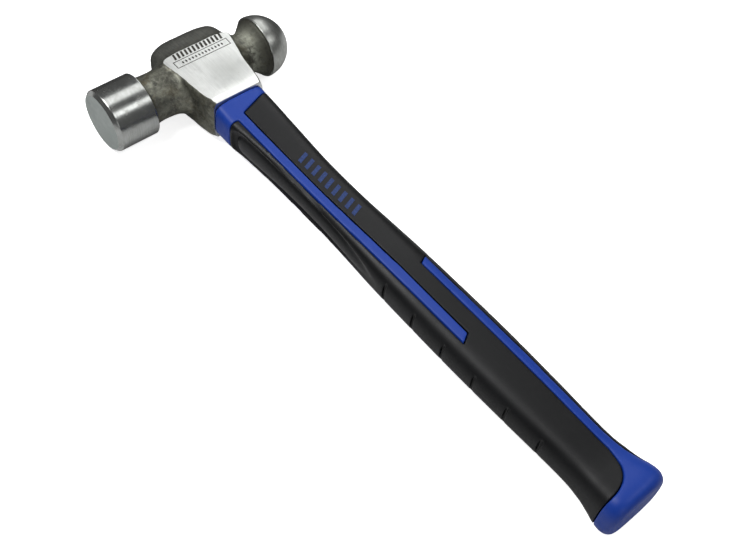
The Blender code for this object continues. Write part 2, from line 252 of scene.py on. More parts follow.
# Studio
FLOOR_GLOW = 0.78
FLOOR_TONE = 0.90
TABLE_TONE = 0.62
TABLE_SHADE = 0.9             # the table is this much darker beside the bell
SHADE_X = (-35, -14)          # where that shade fades out, from the crossing of the axes
SHADE_Y = (-78, -50)          # and where it sets in
ROOM_LIGHT = 0.13
LENS = 51.92
SENSOR = 36.0
SHIFT = (-0.0418, 0.0037)
CAMERA_PLACE = (0.20992, -0.21991, 0.42962)
CAMERA_FORWARD = (-0.37589, 0.44295, -0.81394)
CAMERA_UP = (-0.65646, 0.49265, 0.57127)

# The crossing of the axes of the head and the handle, in the frame
lowest = cad_box[0]
CROSSING = Vector((lowest[0] - HEAD_TOP_X * MM, lowest[1] - FACE_Y * MM,
                   lowest[2] + BALL_RADIUS * MM))
AXIS_X = CROSSING.x / MM
AXIS_Y = CROSSING.y / MM


# ---------------------------------------------------------------- mesh helpers

def catmull(p0, p1, p2, p3, t):
    return 0.5 * (2 * p1 + (p2 - p0) * t + (2 * p0 - 5 * p1 + 4 * p2 - p3) * t * t
                  + (3 * p1 - p0 - 3 * p2 + p3) * t ** 3)


def smooth_rows(rows, steps):
    """Rows of numbers, with a smooth curve's rows put between them."""
    out = []
    for i in range(len(rows) - 1):
        before = rows[max(i - 1, 0)]
        after = rows[min(i + 2, len(rows) - 1)]
        for k in range(steps):
            t = k / steps
            near = zip(before, rows[i], rows[i + 1], after)
            out.append([catmull(*values, t) for values in near])
    out.append(list(rows[-1]))
    return out


def section(x, front, rear, thick, squareness, count=144):
    """Rounded section across X: front is the -Y half width, rear the +Y one."""
    ring = []
    for i in range(count):
        angle = 2 * math.pi * i / count
        across = math.copysign(abs(math.cos(angle)) ** (2 / squareness), math.cos(angle))
        up = math.copysign(abs(math.sin(angle)) ** (2 / squareness), math.sin(angle))
        ring.append((x, across * (rear if across > 0 else front), up * thick))
    return ring


def mesh_object(name, bm):
    bmesh.ops.recalc_face_normals(bm, faces=bm.faces)
    mesh = bpy.data.meshes.new(name)
    bm.to_mesh(mesh)
    bm.free()
    obj = bpy.data.objects.new(name, mesh)
    bpy.context.scene.collection.objects.link(obj)
    return obj


def loft(name, rings):
    """Closed solid through rings with the same number of points."""
    bm = bmesh.new()
    rows = [[bm.verts.new(point) for point in ring] for ring in rings]
    count = len(rows[0])
    for lower, upper in zip(rows, rows[1:]):
        for i in range(count):
            j = (i + 1) % count
            bm.faces.new((lower[i], lower[j], upper[j], upper[i]))
    bm.faces.new(rows[0])
    bm.faces.new(rows[-1])
    return mesh_object(name, bm)


def prism(name, outlines, bottom, top):
    """Closed straight solids over outlines in the XY plane."""
    bm = bmesh.new()
    for outline in outlines:
        base = bm.faces.new([bm.verts.new((x, y, bottom)) for x, y in outline])
        grown = bmesh.ops.extrude_face_region(bm, geom=[base])["geom"]
        moved = [item for item in grown if isinstance(item, bmesh.types.BMVert)]
        bmesh.ops.translate(bm, vec=(0, 0, top - bottom), verts=moved)
    return mesh_object(name, bm)


def turned(name, profile, steps=192):
    """Solid turned about Y from (y, radius) points that start and end on the axis."""
    bm = bmesh.new()
    points = [bm.verts.new((radius, y, 0)) for y, radius in profile]
    edges = [bm.edges.new(pair) for pair in zip(points, points[1:])]
    bmesh.ops.spin(bm, geom=points + edges, cent=(0, 0, 0), axis=(0, 1, 0),
                   angle=2 * math.pi, steps=steps, use_merge=True)
    bmesh.ops.remove_doubles(bm, verts=bm.verts, dist=0.0005)
    return mesh_object(name, bm)


def bake(obj):
    """Put the result of the modifiers in the mesh."""
    graph = bpy.context.evaluated_depsgraph_get()
    mesh = bpy.data.meshes.new_from_object(obj.evaluated_get(graph))
    obj.modifiers.clear()
    obj.data = mesh
    return obj


def combine(target, other, operation="DIFFERENCE"):
    modifier = target.modifiers.new("combine", "BOOLEAN")
    modifier.operation = operation
    modifier.object = other
    modifier.solver = "MANIFOLD"
    bake(target)
    bpy.data.objects.remove(other)
    return target


def remesh(obj, voxel):
    modifier = obj.modifiers.new("remesh", "REMESH")
    modifier.mode = "VOXEL"
    modifier.voxel_size = voxel
    modifier.use_smooth_shade = True
    return bake(obj)


def decimate(obj, ratio):
    modifier = obj.modifiers.new("decimate", "DECIMATE")
    modifier.ratio = ratio
    return bake(obj)


def coordinates(mesh):
    flat = np.empty(len(mesh.vertices) * 3)
    mesh.vertices.foreach_get("co", flat)
    return flat.reshape(-1, 3)


def relax(obj, rounds, weight, back=0.0):
    """Even out the surface where weight, 0 to 1 at each point, says so.

    Every second round goes back by the factor back, if given, against the shrinking.
    """
    mesh = obj.data
    points = coordinates(mesh)
    ends = np.empty(len(mesh.edges) * 2, dtype=np.int32)
    mesh.edges.foreach_get("vertices", ends)
    a, b = ends.reshape(-1, 2).T
    here, there = np.concatenate((a, b)), np.concatenate((b, a))
    degree = np.maximum(np.bincount(here, minlength=len(points)), 1)[:, None]
    share = weight(points)[:, None]
    for i in range(rounds):
        step = RELAX_STEP if i % 2 == 0 or not back else -back
        total = [np.bincount(here, weights=points[there, k], minlength=len(points))
                 for k in range(3)]
        points = points + step * share * (np.stack(total, axis=1) / degree - points)
    mesh.vertices.foreach_set("co", points.ravel())
    mesh.update()
    return obj


def everywhere(points):
    return np.ones(len(points))


def between(values, low, high, soft):
    """1 between low and high, with soft shoulders outside them."""
    rise = np.clip((values - low) / soft + 1, 0, 1)
    fall = np.clip((high - values) / soft + 1, 0, 1)
    blend = np.minimum(rise, fall)
    return blend * blend * (3 - 2 * blend)


def arc(centre, radius, start, end, count):
    points = []
    for i in range(count + 1):
        angle = math.radians(start + (end - start) * i / count)
        points.append((centre[0] + radius * math.cos(angle), centre[1] + radius * math.sin(angle)))
    return points


def rectangle(x0, y0, x1, y1):
    return [(x0, y0), (x1, y0), (x1, y1), (x0, y1)]


def outward(outline, gap):
    """A closed outline moved outward, all its corners kept sharp."""
    area = sum(a[0] * b[1] - b[0] * a[1] for a, b in zip(outline, outline[1:] + outline[:1]))
    side = math.copysign(1, area)
    moved = []
    for i, corner in enumerate(outline):
        here = Vector(corner)
        before = (here - Vector(outline[i - 1])).normalized()
        after = (Vector(outline[(i + 1) % len(outline)]) - here).normalized()
        normal_a = Vector((before.y, -before.x)) * side
        normal_b = Vector((after.y, -after.x)) * side
        shift = (normal_a + normal_b) * (gap / (1 + normal_a.dot(normal_b)))
        moved.append((here.x + shift.x, here.y + shift.y))
    return moved


def oval(x, half_width, half_thick):
    return section(x, half_width, half_width, half_thick, 2.0, 96)


def place(obj, materials, sharp_angle):
    """Carry a piece from the drawing into the frame, with its materials and crisp edges."""
    obj.data.transform(Matrix.Translation(CROSSING) @ Matrix.Scale(MM, 4))
    obj.data.materials.clear()
    for material in materials:
        obj.data.materials.append(material)
    obj.data.shade_smooth()
    obj.data.set_sharp_from_angle(angle=math.radians(sharp_angle))
    return obj


# ------------------------------------------------------------- material helpers

class Surface:
    """A Principled material whose nodes read the object's own place, in millimetres."""

    def __init__(self, name, **fixed):
        self.material = bpy.data.materials.new(name)
        self.material.use_nodes = True
        self.tree = self.material.node_tree
        self.shader = self.tree.nodes["Principled BSDF"]
        for key, value in fixed.items():
            self.shader.inputs[key.replace("_", " ")].default_value = value
        texture = self.tree.nodes.new("ShaderNodeTexCoord")
        self.place = self.mapping(texture.outputs["Object"], (1 / MM, 1 / MM, 1 / MM))

    def node(self, kind, links=None, **values):
        node = self.tree.nodes.new("ShaderNode" + kind)
        for key, value in values.items():
            setattr(node, key, value)
        for key, source in (links or {}).items():
            if isinstance(source, bpy.types.NodeSocket):
                self.tree.links.new(source, node.inputs[key])
            else:
                node.inputs[key].default_value = source
        return node

    def mapping(self, source, scale, turn=(0, 0, 0)):
        links = {"Vector": source, "Scale": scale, "Rotation": [math.radians(a) for a in turn]}
        return self.node("Mapping", links).outputs[0]

    def noise(self, size, detail=3.0, rough=0.55, stretch=(1, 1, 1), turn=(0, 0, 0), bend=0.0):
        """Noise with features about size millimetres across, times stretch along each axis."""
        scale = [1 / (size * part) for part in stretch]
        where = self.mapping(self.place, scale, turn)
        links = {"Vector": where, "Scale": 1.0, "Detail": detail, "Roughness": rough,
                 "Distortion": bend}
        return self.node("TexNoise", links).outputs["Fac"]

    def remap(self, source, low, high, to_low=0.0, to_high=1.0):
        links = {"Value": source, "From Min": low, "From Max": high, "To Min": to_low,
                 "To Max": to_high}
        return self.node("MapRange", links).outputs[0]

    def math(self, operation, a, b=0.0):
        node = self.node("Math", {0: a, 1: b}, operation=operation)
        return node.outputs[0]

    def mix(self, factor, a, b, how="MIX"):
        node = self.node("Mix", data_type="RGBA", blend_type=how)
        for socket, value in ((node.inputs[0], factor), (node.inputs[6], a), (node.inputs[7], b)):
            if isinstance(value, bpy.types.NodeSocket):
                self.tree.links.new(value, socket)
            else:
                socket.default_value = value if isinstance(value, float) else (*value, 1.0)
        return node.outputs[2]

    def away(self, place, weights=(1, 1, 1)):
        """Distance from a place given round the crossing of the axes, weighed along each axis."""
        links = {0: self.place, 1: CROSSING / MM + Vector(place)}
        offset = self.node("VectorMath", links, operation="SUBTRACT").outputs[0]
        spread = self.node("VectorMath", {0: offset, 1: weights}, operation="MULTIPLY").outputs[0]
        return self.node("VectorMath", {0: spread}, operation="LENGTH").outputs["Value"]

    def axis(self, name):
        """One coordinate in the frame, in millimetres."""
        return self.node("SeparateXYZ", {0: self.place}).outputs[name]

    def bump(self, height, depth, strength=1.0):
        """Relief of about depth millimetres; later calls add to earlier ones."""
        links = {"Height": height, "Strength": strength, "Distance": depth * MM}
        old = self.shader.inputs["Normal"]
        if old.is_linked:
            links["Normal"] = old.links[0].from_socket
        self.tree.links.new(self.node("Bump", links).outputs[0], old)

    def set(self, name, source):
        self.tree.links.new(source, self.shader.inputs[name])


def ground_steel():
    """Belt-ground cheeks: fine lines along the handle, faint stains and small pits."""
    s = Surface("ground_steel", Metallic=1.0)
    lines = s.noise(0.16, 4, 0.6, stretch=(60, 1, 4))
    broad = s.noise(1.1, 3, 0.6, stretch=(14, 1, 2))
    patch = s.noise(9.0, 3, 0.6, bend=0.6)
    stain = s.remap(patch, 0.42, 0.72)
    # Darker towards the middle of the cheek and lighter towards its edges.
    from_middle = s.away((17.5, 6.0, 0.0), (0.085, 0.078, 0.0))
    uneven = s.math("ADD", from_middle, s.remap(patch, 0.2, 0.8, -0.5, 0.5))
    handled = s.remap(uneven, 0.1, 1.25, 1.0, 0.0)
    colour = s.mix(s.remap(lines, 0.25, 0.8), (0.70, 0.72, 0.70), (0.96, 0.97, 0.95))
    colour = s.mix(s.math("MULTIPLY", s.remap(broad, 0.45, 0.8), 0.35), colour, (0.52, 0.53, 0.50))
    colour = s.mix(s.math("MULTIPLY", handled, 0.90), colour, (0.43, 0.445, 0.43))
    colour = s.mix(s.math("MULTIPLY", stain, 0.35), colour, (0.40, 0.41, 0.39))
    pits = s.remap(s.noise(0.55, 2, 0.5, stretch=(1.6, 1, 1)), 0.70, 0.78)
    colour = s.mix(s.math("MULTIPLY", pits, 0.5), colour, (0.16, 0.15, 0.13))
    polished = s.remap(s.axis("X"), AXIS_X + BEVEL_X - 0.6, AXIS_X + BEVEL_X + 0.4)
    colour = s.mix(s.math("MULTIPLY", polished, 0.45), colour, (0.56, 0.57, 0.56))
    s.set("Base Color", colour)
    dull = s.remap(s.math("ADD", lines, stain), 0.3, 1.5, 0.30, 0.46)
    s.set("Roughness", s.math("SUBTRACT", dull, s.math("MULTIPLY", polished, 0.05)))
    s.bump(lines, 0.030, 0.7)
    s.bump(broad, 0.020, 0.5)
    s.bump(pits, -0.03, 0.6)
    return s.material


def forged_steel():
    """Raw forging: olive and brown on the necks, a darker crown that is painted shade, painted
    shade in three creases and along the ball's rim, and a painted highlight along the middle of
    the rear neck.
    """
    s = Surface("forged_steel", Metallic=0.85)
    large = s.noise(6.0, 4, 0.6, bend=0.5)
    medium = s.noise(1.8, 4, 0.6, bend=0.3)
    grain = s.noise(0.55, 4, 0.7)
    brushed = s.noise(0.5, 3, 0.6, stretch=(9, 1, 4))
    # Painted shade: towards the crown, past -X, the colour is darkened to the duller one set
    # below.
    crown = s.remap(s.axis("X"), AXIS_X - 12.0, AXIS_X - 5.0, 1.0, 0.0)
    colour = s.mix(s.remap(large, 0.35, 0.68), (0.072, 0.073, 0.062), (0.225, 0.228, 0.185))
    flecks = s.math("MULTIPLY", s.remap(medium, 0.45, 0.78), 0.65)
    colour = s.mix(flecks, colour, (0.33, 0.33, 0.27))
    brown = s.remap(s.noise(5.5, 3, 0.6, bend=0.6), 0.50, 0.70)
    colour = s.mix(s.math("MULTIPLY", brown, 0.55), colour, (0.118, 0.100, 0.060))
    colour = s.mix(s.math("MULTIPLY", s.remap(grain, 0.55, 0.8), 0.55), colour, (0.44, 0.44, 0.39))
    # Colour of the crown: darker and less mottled, painted as shade.
    scale = s.mix(s.remap(brushed, 0.3, 0.75), (0.066, 0.068, 0.062), (0.132, 0.134, 0.124))
    colour = s.mix(s.math("MULTIPLY", crown, 0.85), colour, scale)
    # Painted shade in three creases of the necks, darkest at each place listed.
    for spot in ((3.5, -24.5, 10.0), (9.5, 24.0, 5.0), (-8.5, 21.5, 9.5)):
        uneven = s.math("ADD", s.away(spot), s.remap(medium, 0.3, 0.7, -1.5, 1.5))
        crease_shade = s.remap(uneven, 1.5, 7.0, 0.78, 0.0)
        colour = s.mix(crease_shade, colour, (0.045, 0.044, 0.036))
    along = s.math("ADD", s.axis("Y"), s.remap(medium, 0.3, 0.7, -1.2, 1.2))
    # Painted shade: a dark band on the neck next to the ball's rim.
    rim = s.remap(along, AXIS_Y + 27.0, AXIS_Y + BALL_RIM_Y - 0.6)
    middle = s.remap(along, AXIS_Y + 22.0, AXIS_Y + 26.0)
    # Painted highlight: lighter along the middle of the rear neck.
    wear_and_highlight = s.math("MULTIPLY", middle, s.remap(medium, 0.35, 0.65, 0.15, 0.9))
    colour = s.mix(wear_and_highlight, colour, (0.29, 0.30, 0.25))
    colour = s.mix(s.math("MULTIPLY", rim, 0.9), colour, (0.045, 0.044, 0.036))
    s.set("Base Color", colour)
    dull = s.remap(s.math("ADD", medium, grain), 0.7, 1.4, 0.56, 0.36)
    s.set("Roughness", s.math("ADD", dull, s.math("MULTIPLY", middle, 0.13)))
    s.bump(medium, 0.14, 0.8)
    s.bump(grain, 0.08, 0.9)
    return s.material


def turned_steel():
    """Bell side: turned and polished, with fine rings and light handling marks."""
    s = Surface("turned_steel", Metallic=1.0)
    rings = s.noise(0.30, 4, 0.65, stretch=(90, 1, 90))
    smudge = s.noise(5.0, 4, 0.6, bend=0.7)
    speck = s.remap(s.noise(0.6, 3, 0.6), 0.66, 0.8)
    colour = s.mix(s.remap(rings, 0.3, 0.75), (0.35, 0.36, 0.35), (0.49, 0.505, 0.49))
    handled = s.math("MULTIPLY", s.remap(smudge, 0.45, 0.75), 0.45)
    colour = s.mix(handled, colour, (0.26, 0.26, 0.24))
    colour = s.mix(s.math("MULTIPLY", speck, 0.45), colour, (0.12, 0.11, 0.10))
    s.set("Base Color", colour)
    s.set("Roughness", s.remap(smudge, 0.3, 0.75, 0.17, 0.30))
    s.bump(rings, 0.012, 0.6)
    return s.material


def ball_steel():
    """Ball: satin polish with short scratches every way."""
    s = Surface("ball_steel", Metallic=1.0)
    fine = s.noise(0.5, 4, 0.6, stretch=(5, 1, 5))
    other = s.noise(0.5, 4, 0.6, stretch=(1, 6, 2), turn=(0, 0, 35))
    smudge = s.noise(5.5, 4, 0.6, bend=0.8)
    colour = s.mix(s.remap(fine, 0.35, 0.7), (0.31, 0.32, 0.305), (0.46, 0.47, 0.45))
    handled = s.math("MULTIPLY", s.remap(smudge, 0.42, 0.75), 0.55)
    colour = s.mix(handled, colour, (0.22, 0.22, 0.20))
    s.set("Base Color", colour)
    s.set("Roughness", s.remap(s.math("ADD", smudge, other), 0.7, 1.3, 0.29, 0.41))
    s.bump(fine, 0.010, 0.6)
    s.bump(other, 0.010, 0.6)
    return s.material


def face_steel():
    """Striking face: flat ground, with crossing scratches and a dull bloom."""
    s = Surface("face_steel", Metallic=1.0)
    first = s.noise(0.28, 3, 0.6, stretch=(14, 1, 1), turn=(0, 38, 0))
    second = s.noise(0.28, 3, 0.6, stretch=(12, 1, 1), turn=(0, -52, 0))
    bloom = s.noise(3.5, 5, 0.7, bend=0.5)
    marks = s.math("MULTIPLY", s.remap(first, 0.4, 0.75), s.remap(second, 0.3, 0.8))
    colour = s.mix(s.remap(bloom, 0.35, 0.7), (0.24, 0.275, 0.265), (0.36, 0.395, 0.38))
    colour = s.mix(s.math("MULTIPLY", marks, 0.8), colour, (0.64, 0.65, 0.63))
    s.set("Base Color", colour)
    s.set("Roughness", s.remap(bloom, 0.3, 0.7, 0.34, 0.48))
    s.bump(first, 0.012, 0.6)
    s.bump(second, 0.012, 0.6)
    return s.material


def stamp_recess():
    """Floor of the stamped marks: dark scale."""
    s = Surface("stamp_recess", Metallic=0.6)
    dirt = s.noise(0.5, 3, 0.6)
    s.set("Base Color", s.mix(dirt, (0.025, 0.023, 0.020), (0.085, 0.080, 0.070)))
    s.set("Roughness", s.remap(dirt, 0.2, 0.8, 0.55, 0.8))
    return s.material


def blue_plastic():
    """Moulded nylon with a fine spark-eroded skin."""
    s = Surface("blue_plastic", Specular_IOR_Level=0.25)
    skin = s.noise(0.28, 2, 0.5)
    cloud = s.noise(14.0, 3, 0.5)
    rub = s.noise(2.5, 4, 0.6, stretch=(5, 1, 1))
    colour = s.mix(cloud, (0.0066, 0.0375, 0.275), (0.0100, 0.047, 0.315))
    colour = s.mix(s.math("MULTIPLY", s.remap(rub, 0.55, 0.8), 0.25), colour, (0.020, 0.070, 0.39))
    s.set("Base Color", colour)
    s.set("Roughness", s.remap(s.math("ADD", cloud, skin), 0.6, 1.4, 0.36, 0.50))
    s.bump(skin, 0.020, 0.5)
    return s.material


def mark_plastic():
    """Dull blue inlay of the bars on the grip."""
    s = Surface("mark_plastic", Specular_IOR_Level=0.2)
    wear_and_highlight = s.noise(0.9, 4, 0.6)
    rubbed = s.remap(wear_and_highlight, 0.35, 0.75)
    s.set("Base Color", s.mix(rubbed, (0.030, 0.058, 0.19), (0.018, 0.030, 0.09)))
    s.set("Roughness", s.remap(wear_and_highlight, 0.3, 0.8, 0.5, 0.7))
    s.bump(wear_and_highlight, 0.02, 0.4)
    return s.material


def black_rubber():
    """Soft overmoulding: fine matt grain, a little rubbed."""
    s = Surface("black_rubber", Specular_IOR_Level=0.225)
    grain = s.noise(0.24, 3, 0.6)
    cloud = s.noise(11.0, 4, 0.55)
    rub = s.noise(1.6, 4, 0.6, stretch=(4, 1, 1))
    colour = s.mix(cloud, (0.0036, 0.0039, 0.0045), (0.0060, 0.0064, 0.0072))
    rubbed = s.math("MULTIPLY", s.remap(rub, 0.55, 0.85), 0.5)
    colour = s.mix(rubbed, colour, (0.0105, 0.0108, 0.0115))
    s.set("Base Color", colour)
    palm = s.remap(s.axis("X"), AXIS_X + 150.0, AXIS_X + 185.0, 0.0, 0.09)
    dull = s.remap(s.math("ADD", cloud, grain), 0.6, 1.4, 0.31, 0.43)
    s.set("Roughness", s.math("ADD", dull, palm))
    s.bump(grain, 0.030, 0.7)
    return s.material


def fibreglass():
    """Pultruded rod: pale glass strands along X in amber resin, sawn off at its top."""
    s = Surface("fibreglass", Roughness=0.5)
    strands = s.noise(0.35, 3, 0.6, stretch=(40, 1, 1))
    colour = s.mix(s.remap(strands, 0.3, 0.7), (0.42, 0.34, 0.16), (0.72, 0.66, 0.46))
    s.set("Base Color", colour)
    s.bump(strands, 0.05, 0.6)
    return s.material


def epoxy_resin():
    """Poured dark resin with small bubbles."""
    s = Surface("epoxy_resin", Roughness=0.35)
    bubbles = s.remap(s.noise(0.8, 2, 0.5), 0.62, 0.7)
    flow = s.noise(3.0, 3, 0.5)
    colour = s.mix(flow, (0.030, 0.026, 0.020), (0.070, 0.058, 0.040))
    s.set("Base Color", s.mix(s.math("MULTIPLY", bubbles, 0.6), colour, (0.015, 0.012, 0.010)))
    s.bump(bubbles, -0.12, 0.8)
    s.bump(flow, 0.10, 0.5)
    return s.material


# ------------------------------------------------------------------------ head

def forging():
    """Eye body and necks in one rough skin, filleted where they meet."""
    body = loft("hammer_head", [section(*row) for row in smooth_rows(EYE_BODY, COARSE_STEPS)])
    turns = [2 * math.pi * i / 144 for i in range(144)]
    rings = [[(width * math.cos(a), y, thick * math.sin(a)) for a in turns]
             for y, width, thick in smooth_rows(NECKS, 8)]
    combine(body, loft("necks", rings), "UNION")
    remesh(body, HEAD_VOXEL)

    def junctions(points):
        """Round the neck, but neither at the crown, the skirt nor the cheeks."""
        front = between(points[:, 1], *FRONT_JUNCTION_Y)
        rear = between(points[:, 1], *REAR_JUNCTION_Y)
        reach = np.hypot(points[:, 0], points[:, 2])
        round_neck = 1 - between(reach, *CROWN_REACH)
        below_cheek = 1 - between(abs(points[:, 2]), *CHEEK_REACH)
        return np.maximum(front, rear) * round_neck * below_cheek

    relax(body, 40, junctions)
    relax(body, 4, everywhere, back=RELAX_BACK)
    roughen(body)
    return body


def roughen(obj):
    """Hammered and scaled skin of a drop forging."""
    mesh = obj.data
    points = coordinates(mesh)
    flat = np.empty(len(points) * 3)
    mesh.vertices.foreach_get("normal", flat)
    shift = Vector((7, 3, 1))
    lift = [noise.noise(Vector(point) * DENT_RATE) * DENT_HEIGHT
            + noise.noise(Vector(point) * SCALE_RATE + shift) * SCALE_HEIGHT for point in points]
    points += flat.reshape(-1, 3) * (np.array(lift) - SKIN_SINK)[:, None]
    mesh.vertices.foreach_set("co", points.ravel())
    mesh.update()


def bell_profile():
    flat = BELL_RADIUS - FACE_CHAMFER - FACE_CORNER
    rim_y = FACE_Y + FACE_DOME
    round_y = FACE_Y + FACE_CHAMFER + BELL_CORNER
    back_y = BELL_BACK_Y + 0.1
    points = [(FACE_Y, 0), (FACE_Y + 0.05, 8.0), (rim_y, flat)]
    points += arc((rim_y + FACE_CORNER, flat), FACE_CORNER, 180, 135, 4)[1:]
    points += arc((round_y, BELL_RADIUS - BELL_CORNER), BELL_CORNER, 135, 90, 6)
    points += [(y, BELL_RADIUS) for y in np.linspace(FACE_Y + 3, BELL_BACK_Y - 1.2, 12)]
    points += arc((BELL_BACK_Y - BELL_BACK_ROUND, BELL_RADIUS - BELL_BACK_ROUND),
                  BELL_BACK_ROUND, 90, 0, 6)
    points += [(back_y, 12.0), (back_y, 0)]
    return points


def ball_profile():
    centre = BALL_TIP_Y - BALL_RADIUS
    rim = math.degrees(math.acos((BALL_RIM_Y + BALL_RIM_BREAK - centre) / BALL_RADIUS))
    ball = arc((centre, 0), BALL_RADIUS, rim, 0, 48)
    ball[-1] = (BALL_TIP_Y, 0)
    rim_edge = [(BALL_RIM_Y, BALL_RADIUS - 0.5), (BALL_RIM_Y + 0.1, BALL_RADIUS - 0.15)]
    return [(BALL_RIM_Y, 0), *rim_edge, *ball]


def skirt_bevel(side):
    """Cutter over the sloped band and the flat end of the skirt, on one cheek."""
    slope = (CHEEK_Z - BEVEL_BREAK[1]) / (BEVEL_BREAK[0] - BEVEL_X)
    top_z = CHEEK_Z + 1.0
    split_z = BEVEL_SPLIT_Z * side
    outline = [(BEVEL_X - 1.0 / slope, top_z), BEVEL_BREAK, (SKIRT_END_X, BEVEL_END_Z),
               (SKIRT_END_X, split_z), (SKIRT_END_X + 5, split_z), (SKIRT_END_X + 5, top_z)]
    bm = bmesh.new()
    rows = [[bm.verts.new((x, y, z * side)) for x, z in outline] for y in (-PAST, PAST)]
    count = len(outline)
    for i in range(count):
        j = (i + 1) % count
        bm.faces.new((rows[0][i], rows[0][j], rows[1][j], rows[1][i]))
    bm.faces.new(rows[0])
    bm.faces.new(rows[1])
    return mesh_object("skirt_bevel", bm)


def stamped_marks():
    """A plain frame with a row of small lozenges in it and a row of bars over it."""
    x0, y0, x1, y1 = STAMP_FRAME
    left, right = x0 + STAMP_LINE, x1 - STAMP_LINE
    outlines = [
        rectangle(x0, y0, left, y1),
        rectangle(right, y0, x1, y1),
        rectangle(left + STAMP_JOIN, y0, right - STAMP_JOIN, y0 + STAMP_LINE),
        rectangle(left + STAMP_JOIN, y1 - STAMP_LINE, right - STAMP_JOIN, y1),
    ]
    low, middle, high = LOZENGE_X
    for i in range(STAMP_COUNT):
        y = LOZENGE_FIRST_Y + LOZENGE_PITCH * i
        outlines.append([(low, y), (middle, y - LOZENGE_HALF_WIDTH), (high, y),
                         (middle, y + LOZENGE_HALF_WIDTH)])
    top, foot = BAR_X
    for i in range(STAMP_COUNT):
        y = BAR_FIRST_Y + BAR_PITCH * i
        outlines.append([(top, y + BAR_TOP_Y[0]), (top, y + BAR_TOP_Y[1]),
                         (foot, y + BAR_FOOT_Y[1]), (foot, y + BAR_FOOT_Y[0])])
    return prism("marks", outlines, CHEEK_Z - STAMP_DEPTH, PAST)


# The finishes of the head, in the order of its materials
GROUND, FORGED, TURNED, BALL, FACE, STAMP = range(6)


def finish_of(face):
    """Which finish one face of the head has, from its place and its direction."""
    x, y, z = face.center
    nx, ny, nz = face.normal
    on_cheek = abs(z) > CHEEK_Z - 0.02 and abs(nz) > 0.995 and abs(y) < GROUND_HALF_Y
    skirt_end = x > SKIRT_END_X - 0.3 and nx > 0.5
    on_bevel = x > BEVEL_X - 0.2 and abs(z) > BEVEL_END_Z and abs(ny) < 0.02 and 0.1 < nx < 0.95
    if on_cheek or skirt_end or on_bevel:
        return GROUND
    below_cheek = CHEEK_Z - 0.5 < z < CHEEK_Z and (nz > 0.999 or abs(nz) < 0.05)
    if below_cheek and -9 < x < 2 and abs(y) < 18:
        return STAMP
    if y < BELL_BACK_Y + 0.12 and math.hypot(x, z) < 17 and ny < -0.95:
        return FACE
    if y < BELL_BACK_Y - 0.45:
        return TURNED
    if y > BALL_RIM_Y - 0.01:
        return BALL
    return FORGED


def head():
    body = forging()
    combine(body, turned("bell", bell_profile()), "UNION")
    combine(body, turned("ball", ball_profile()), "UNION")
    ground = [rectangle(-PAST, -GROUND_HALF_Y, PAST + 5, GROUND_HALF_Y)]
    combine(body, prism("upper_grinding", ground, CHEEK_Z, PAST))
    combine(body, prism("lower_grinding", ground, -PAST, -CHEEK_Z))
    for side in (1, -1):
        combine(body, skirt_bevel(side))
    combine(body, loft("eye_hole", [oval(*row) for row in EYE_HOLE]))
    combine(body, stamped_marks())
    finishes = [finish_of(face) for face in body.data.polygons]
    materials = [ground_steel(), forged_steel(), turned_steel(), ball_steel(), face_steel(),
                 stamp_recess()]
    place(body, materials, HEAD_SHARP)
    body.data.polygons.foreach_set("material_index", finishes)
    sharpen_borders(body.data)
    return body


def sharpen_borders(mesh):
    """Crisp shading wherever two finishes meet."""
    bm = bmesh.new()
    bm.from_mesh(mesh)
    for edge in bm.edges:
        if len({face.material_index for face in edge.link_faces}) > 1:
            edge.smooth = False
    bm.to_mesh(mesh)
    bm.free()


# ---------------------------------------------------------------------- handle

def handle_outside(name):
    return loft(name, [section(*row) for row in smooth_rows(HANDLE, FINE_STEPS)])


def under_rubber(name, grow):
    rings = []
    for x, front, rear, thick, squareness in smooth_rows(HANDLE, COARSE_STEPS):
        rings.append(section(x, front - SOFT_WALL_FRONT + grow, rear - SOFT_WALL_REAR + grow,
                             thick - SOFT_WALL_SIDE + grow, squareness, 96))
    return loft(name, rings)


def blue_areas(name, grow):
    """Tall solids over the areas where the blue plastic reaches the surface."""
    collar = [(COLLAR_X - 5, PAST), *COLLAR_REAR_EDGE, PANEL_CORNER, FLUTE_CORNER,
              *COLLAR_FRONT_EDGE, (COLLAR_X - 5, -PAST)]
    butt = [(BUTT_END_X + 5, PAST), *BUTT_REAR_EDGE, REAR_STRIPE_OUTER[-1],
            *smooth_rows([REAR_STRIPE_INNER[-1], *GRIP_END], 5), (BUTT_FRONT_EDGE_X, -PAST),
            (BUTT_END_X + 5, -PAST)]
    front = [(COLLAR_X, -5.1), *FRONT_STRIPE, FLUTE_CORNER, (COLLAR_X, -10.1)]
    rear = [(BUTT_END_X, 12.3), *reversed(REAR_STRIPE_OUTER), *REAR_STRIPE_INNER,
            (BUTT_END_X, 4.5)]
    areas = prism(name, [outward(outline, grow) for outline in (collar, butt)], -PAST, PAST)
    stripes = [outward(outline, grow) for outline in (front, rear)]
    reach = STRIPE_DEPTH_Z - grow
    combine(areas, prism(name + "_upper", stripes, reach, PAST - 1), "UNION")
    combine(areas, prism(name + "_lower", stripes, 1 - PAST, -reach), "UNION")
    return areas


def blue_jacket():
    jacket = handle_outside("blue_jacket")
    combine(jacket, blue_areas("areas", 0), "INTERSECT")
    combine(jacket, under_rubber("inner", 0), "UNION")
    grown = (CORE_HALF_WIDTH + 0.3, CORE_HALF_THICK + 0.3)
    combine(jacket, loft("bore", [oval(COLLAR_X - 5, *grown), oval(CORE_END_X, *grown)]))
    remesh(jacket, JACKET_VOXEL)
    relax(jacket, 3, everywhere)
    relax(jacket, 4, everywhere, back=RELAX_BACK)
    decimate(jacket, KEPT_FACES)
    return place(jacket, [blue_plastic()], MOULDED_SHARP)


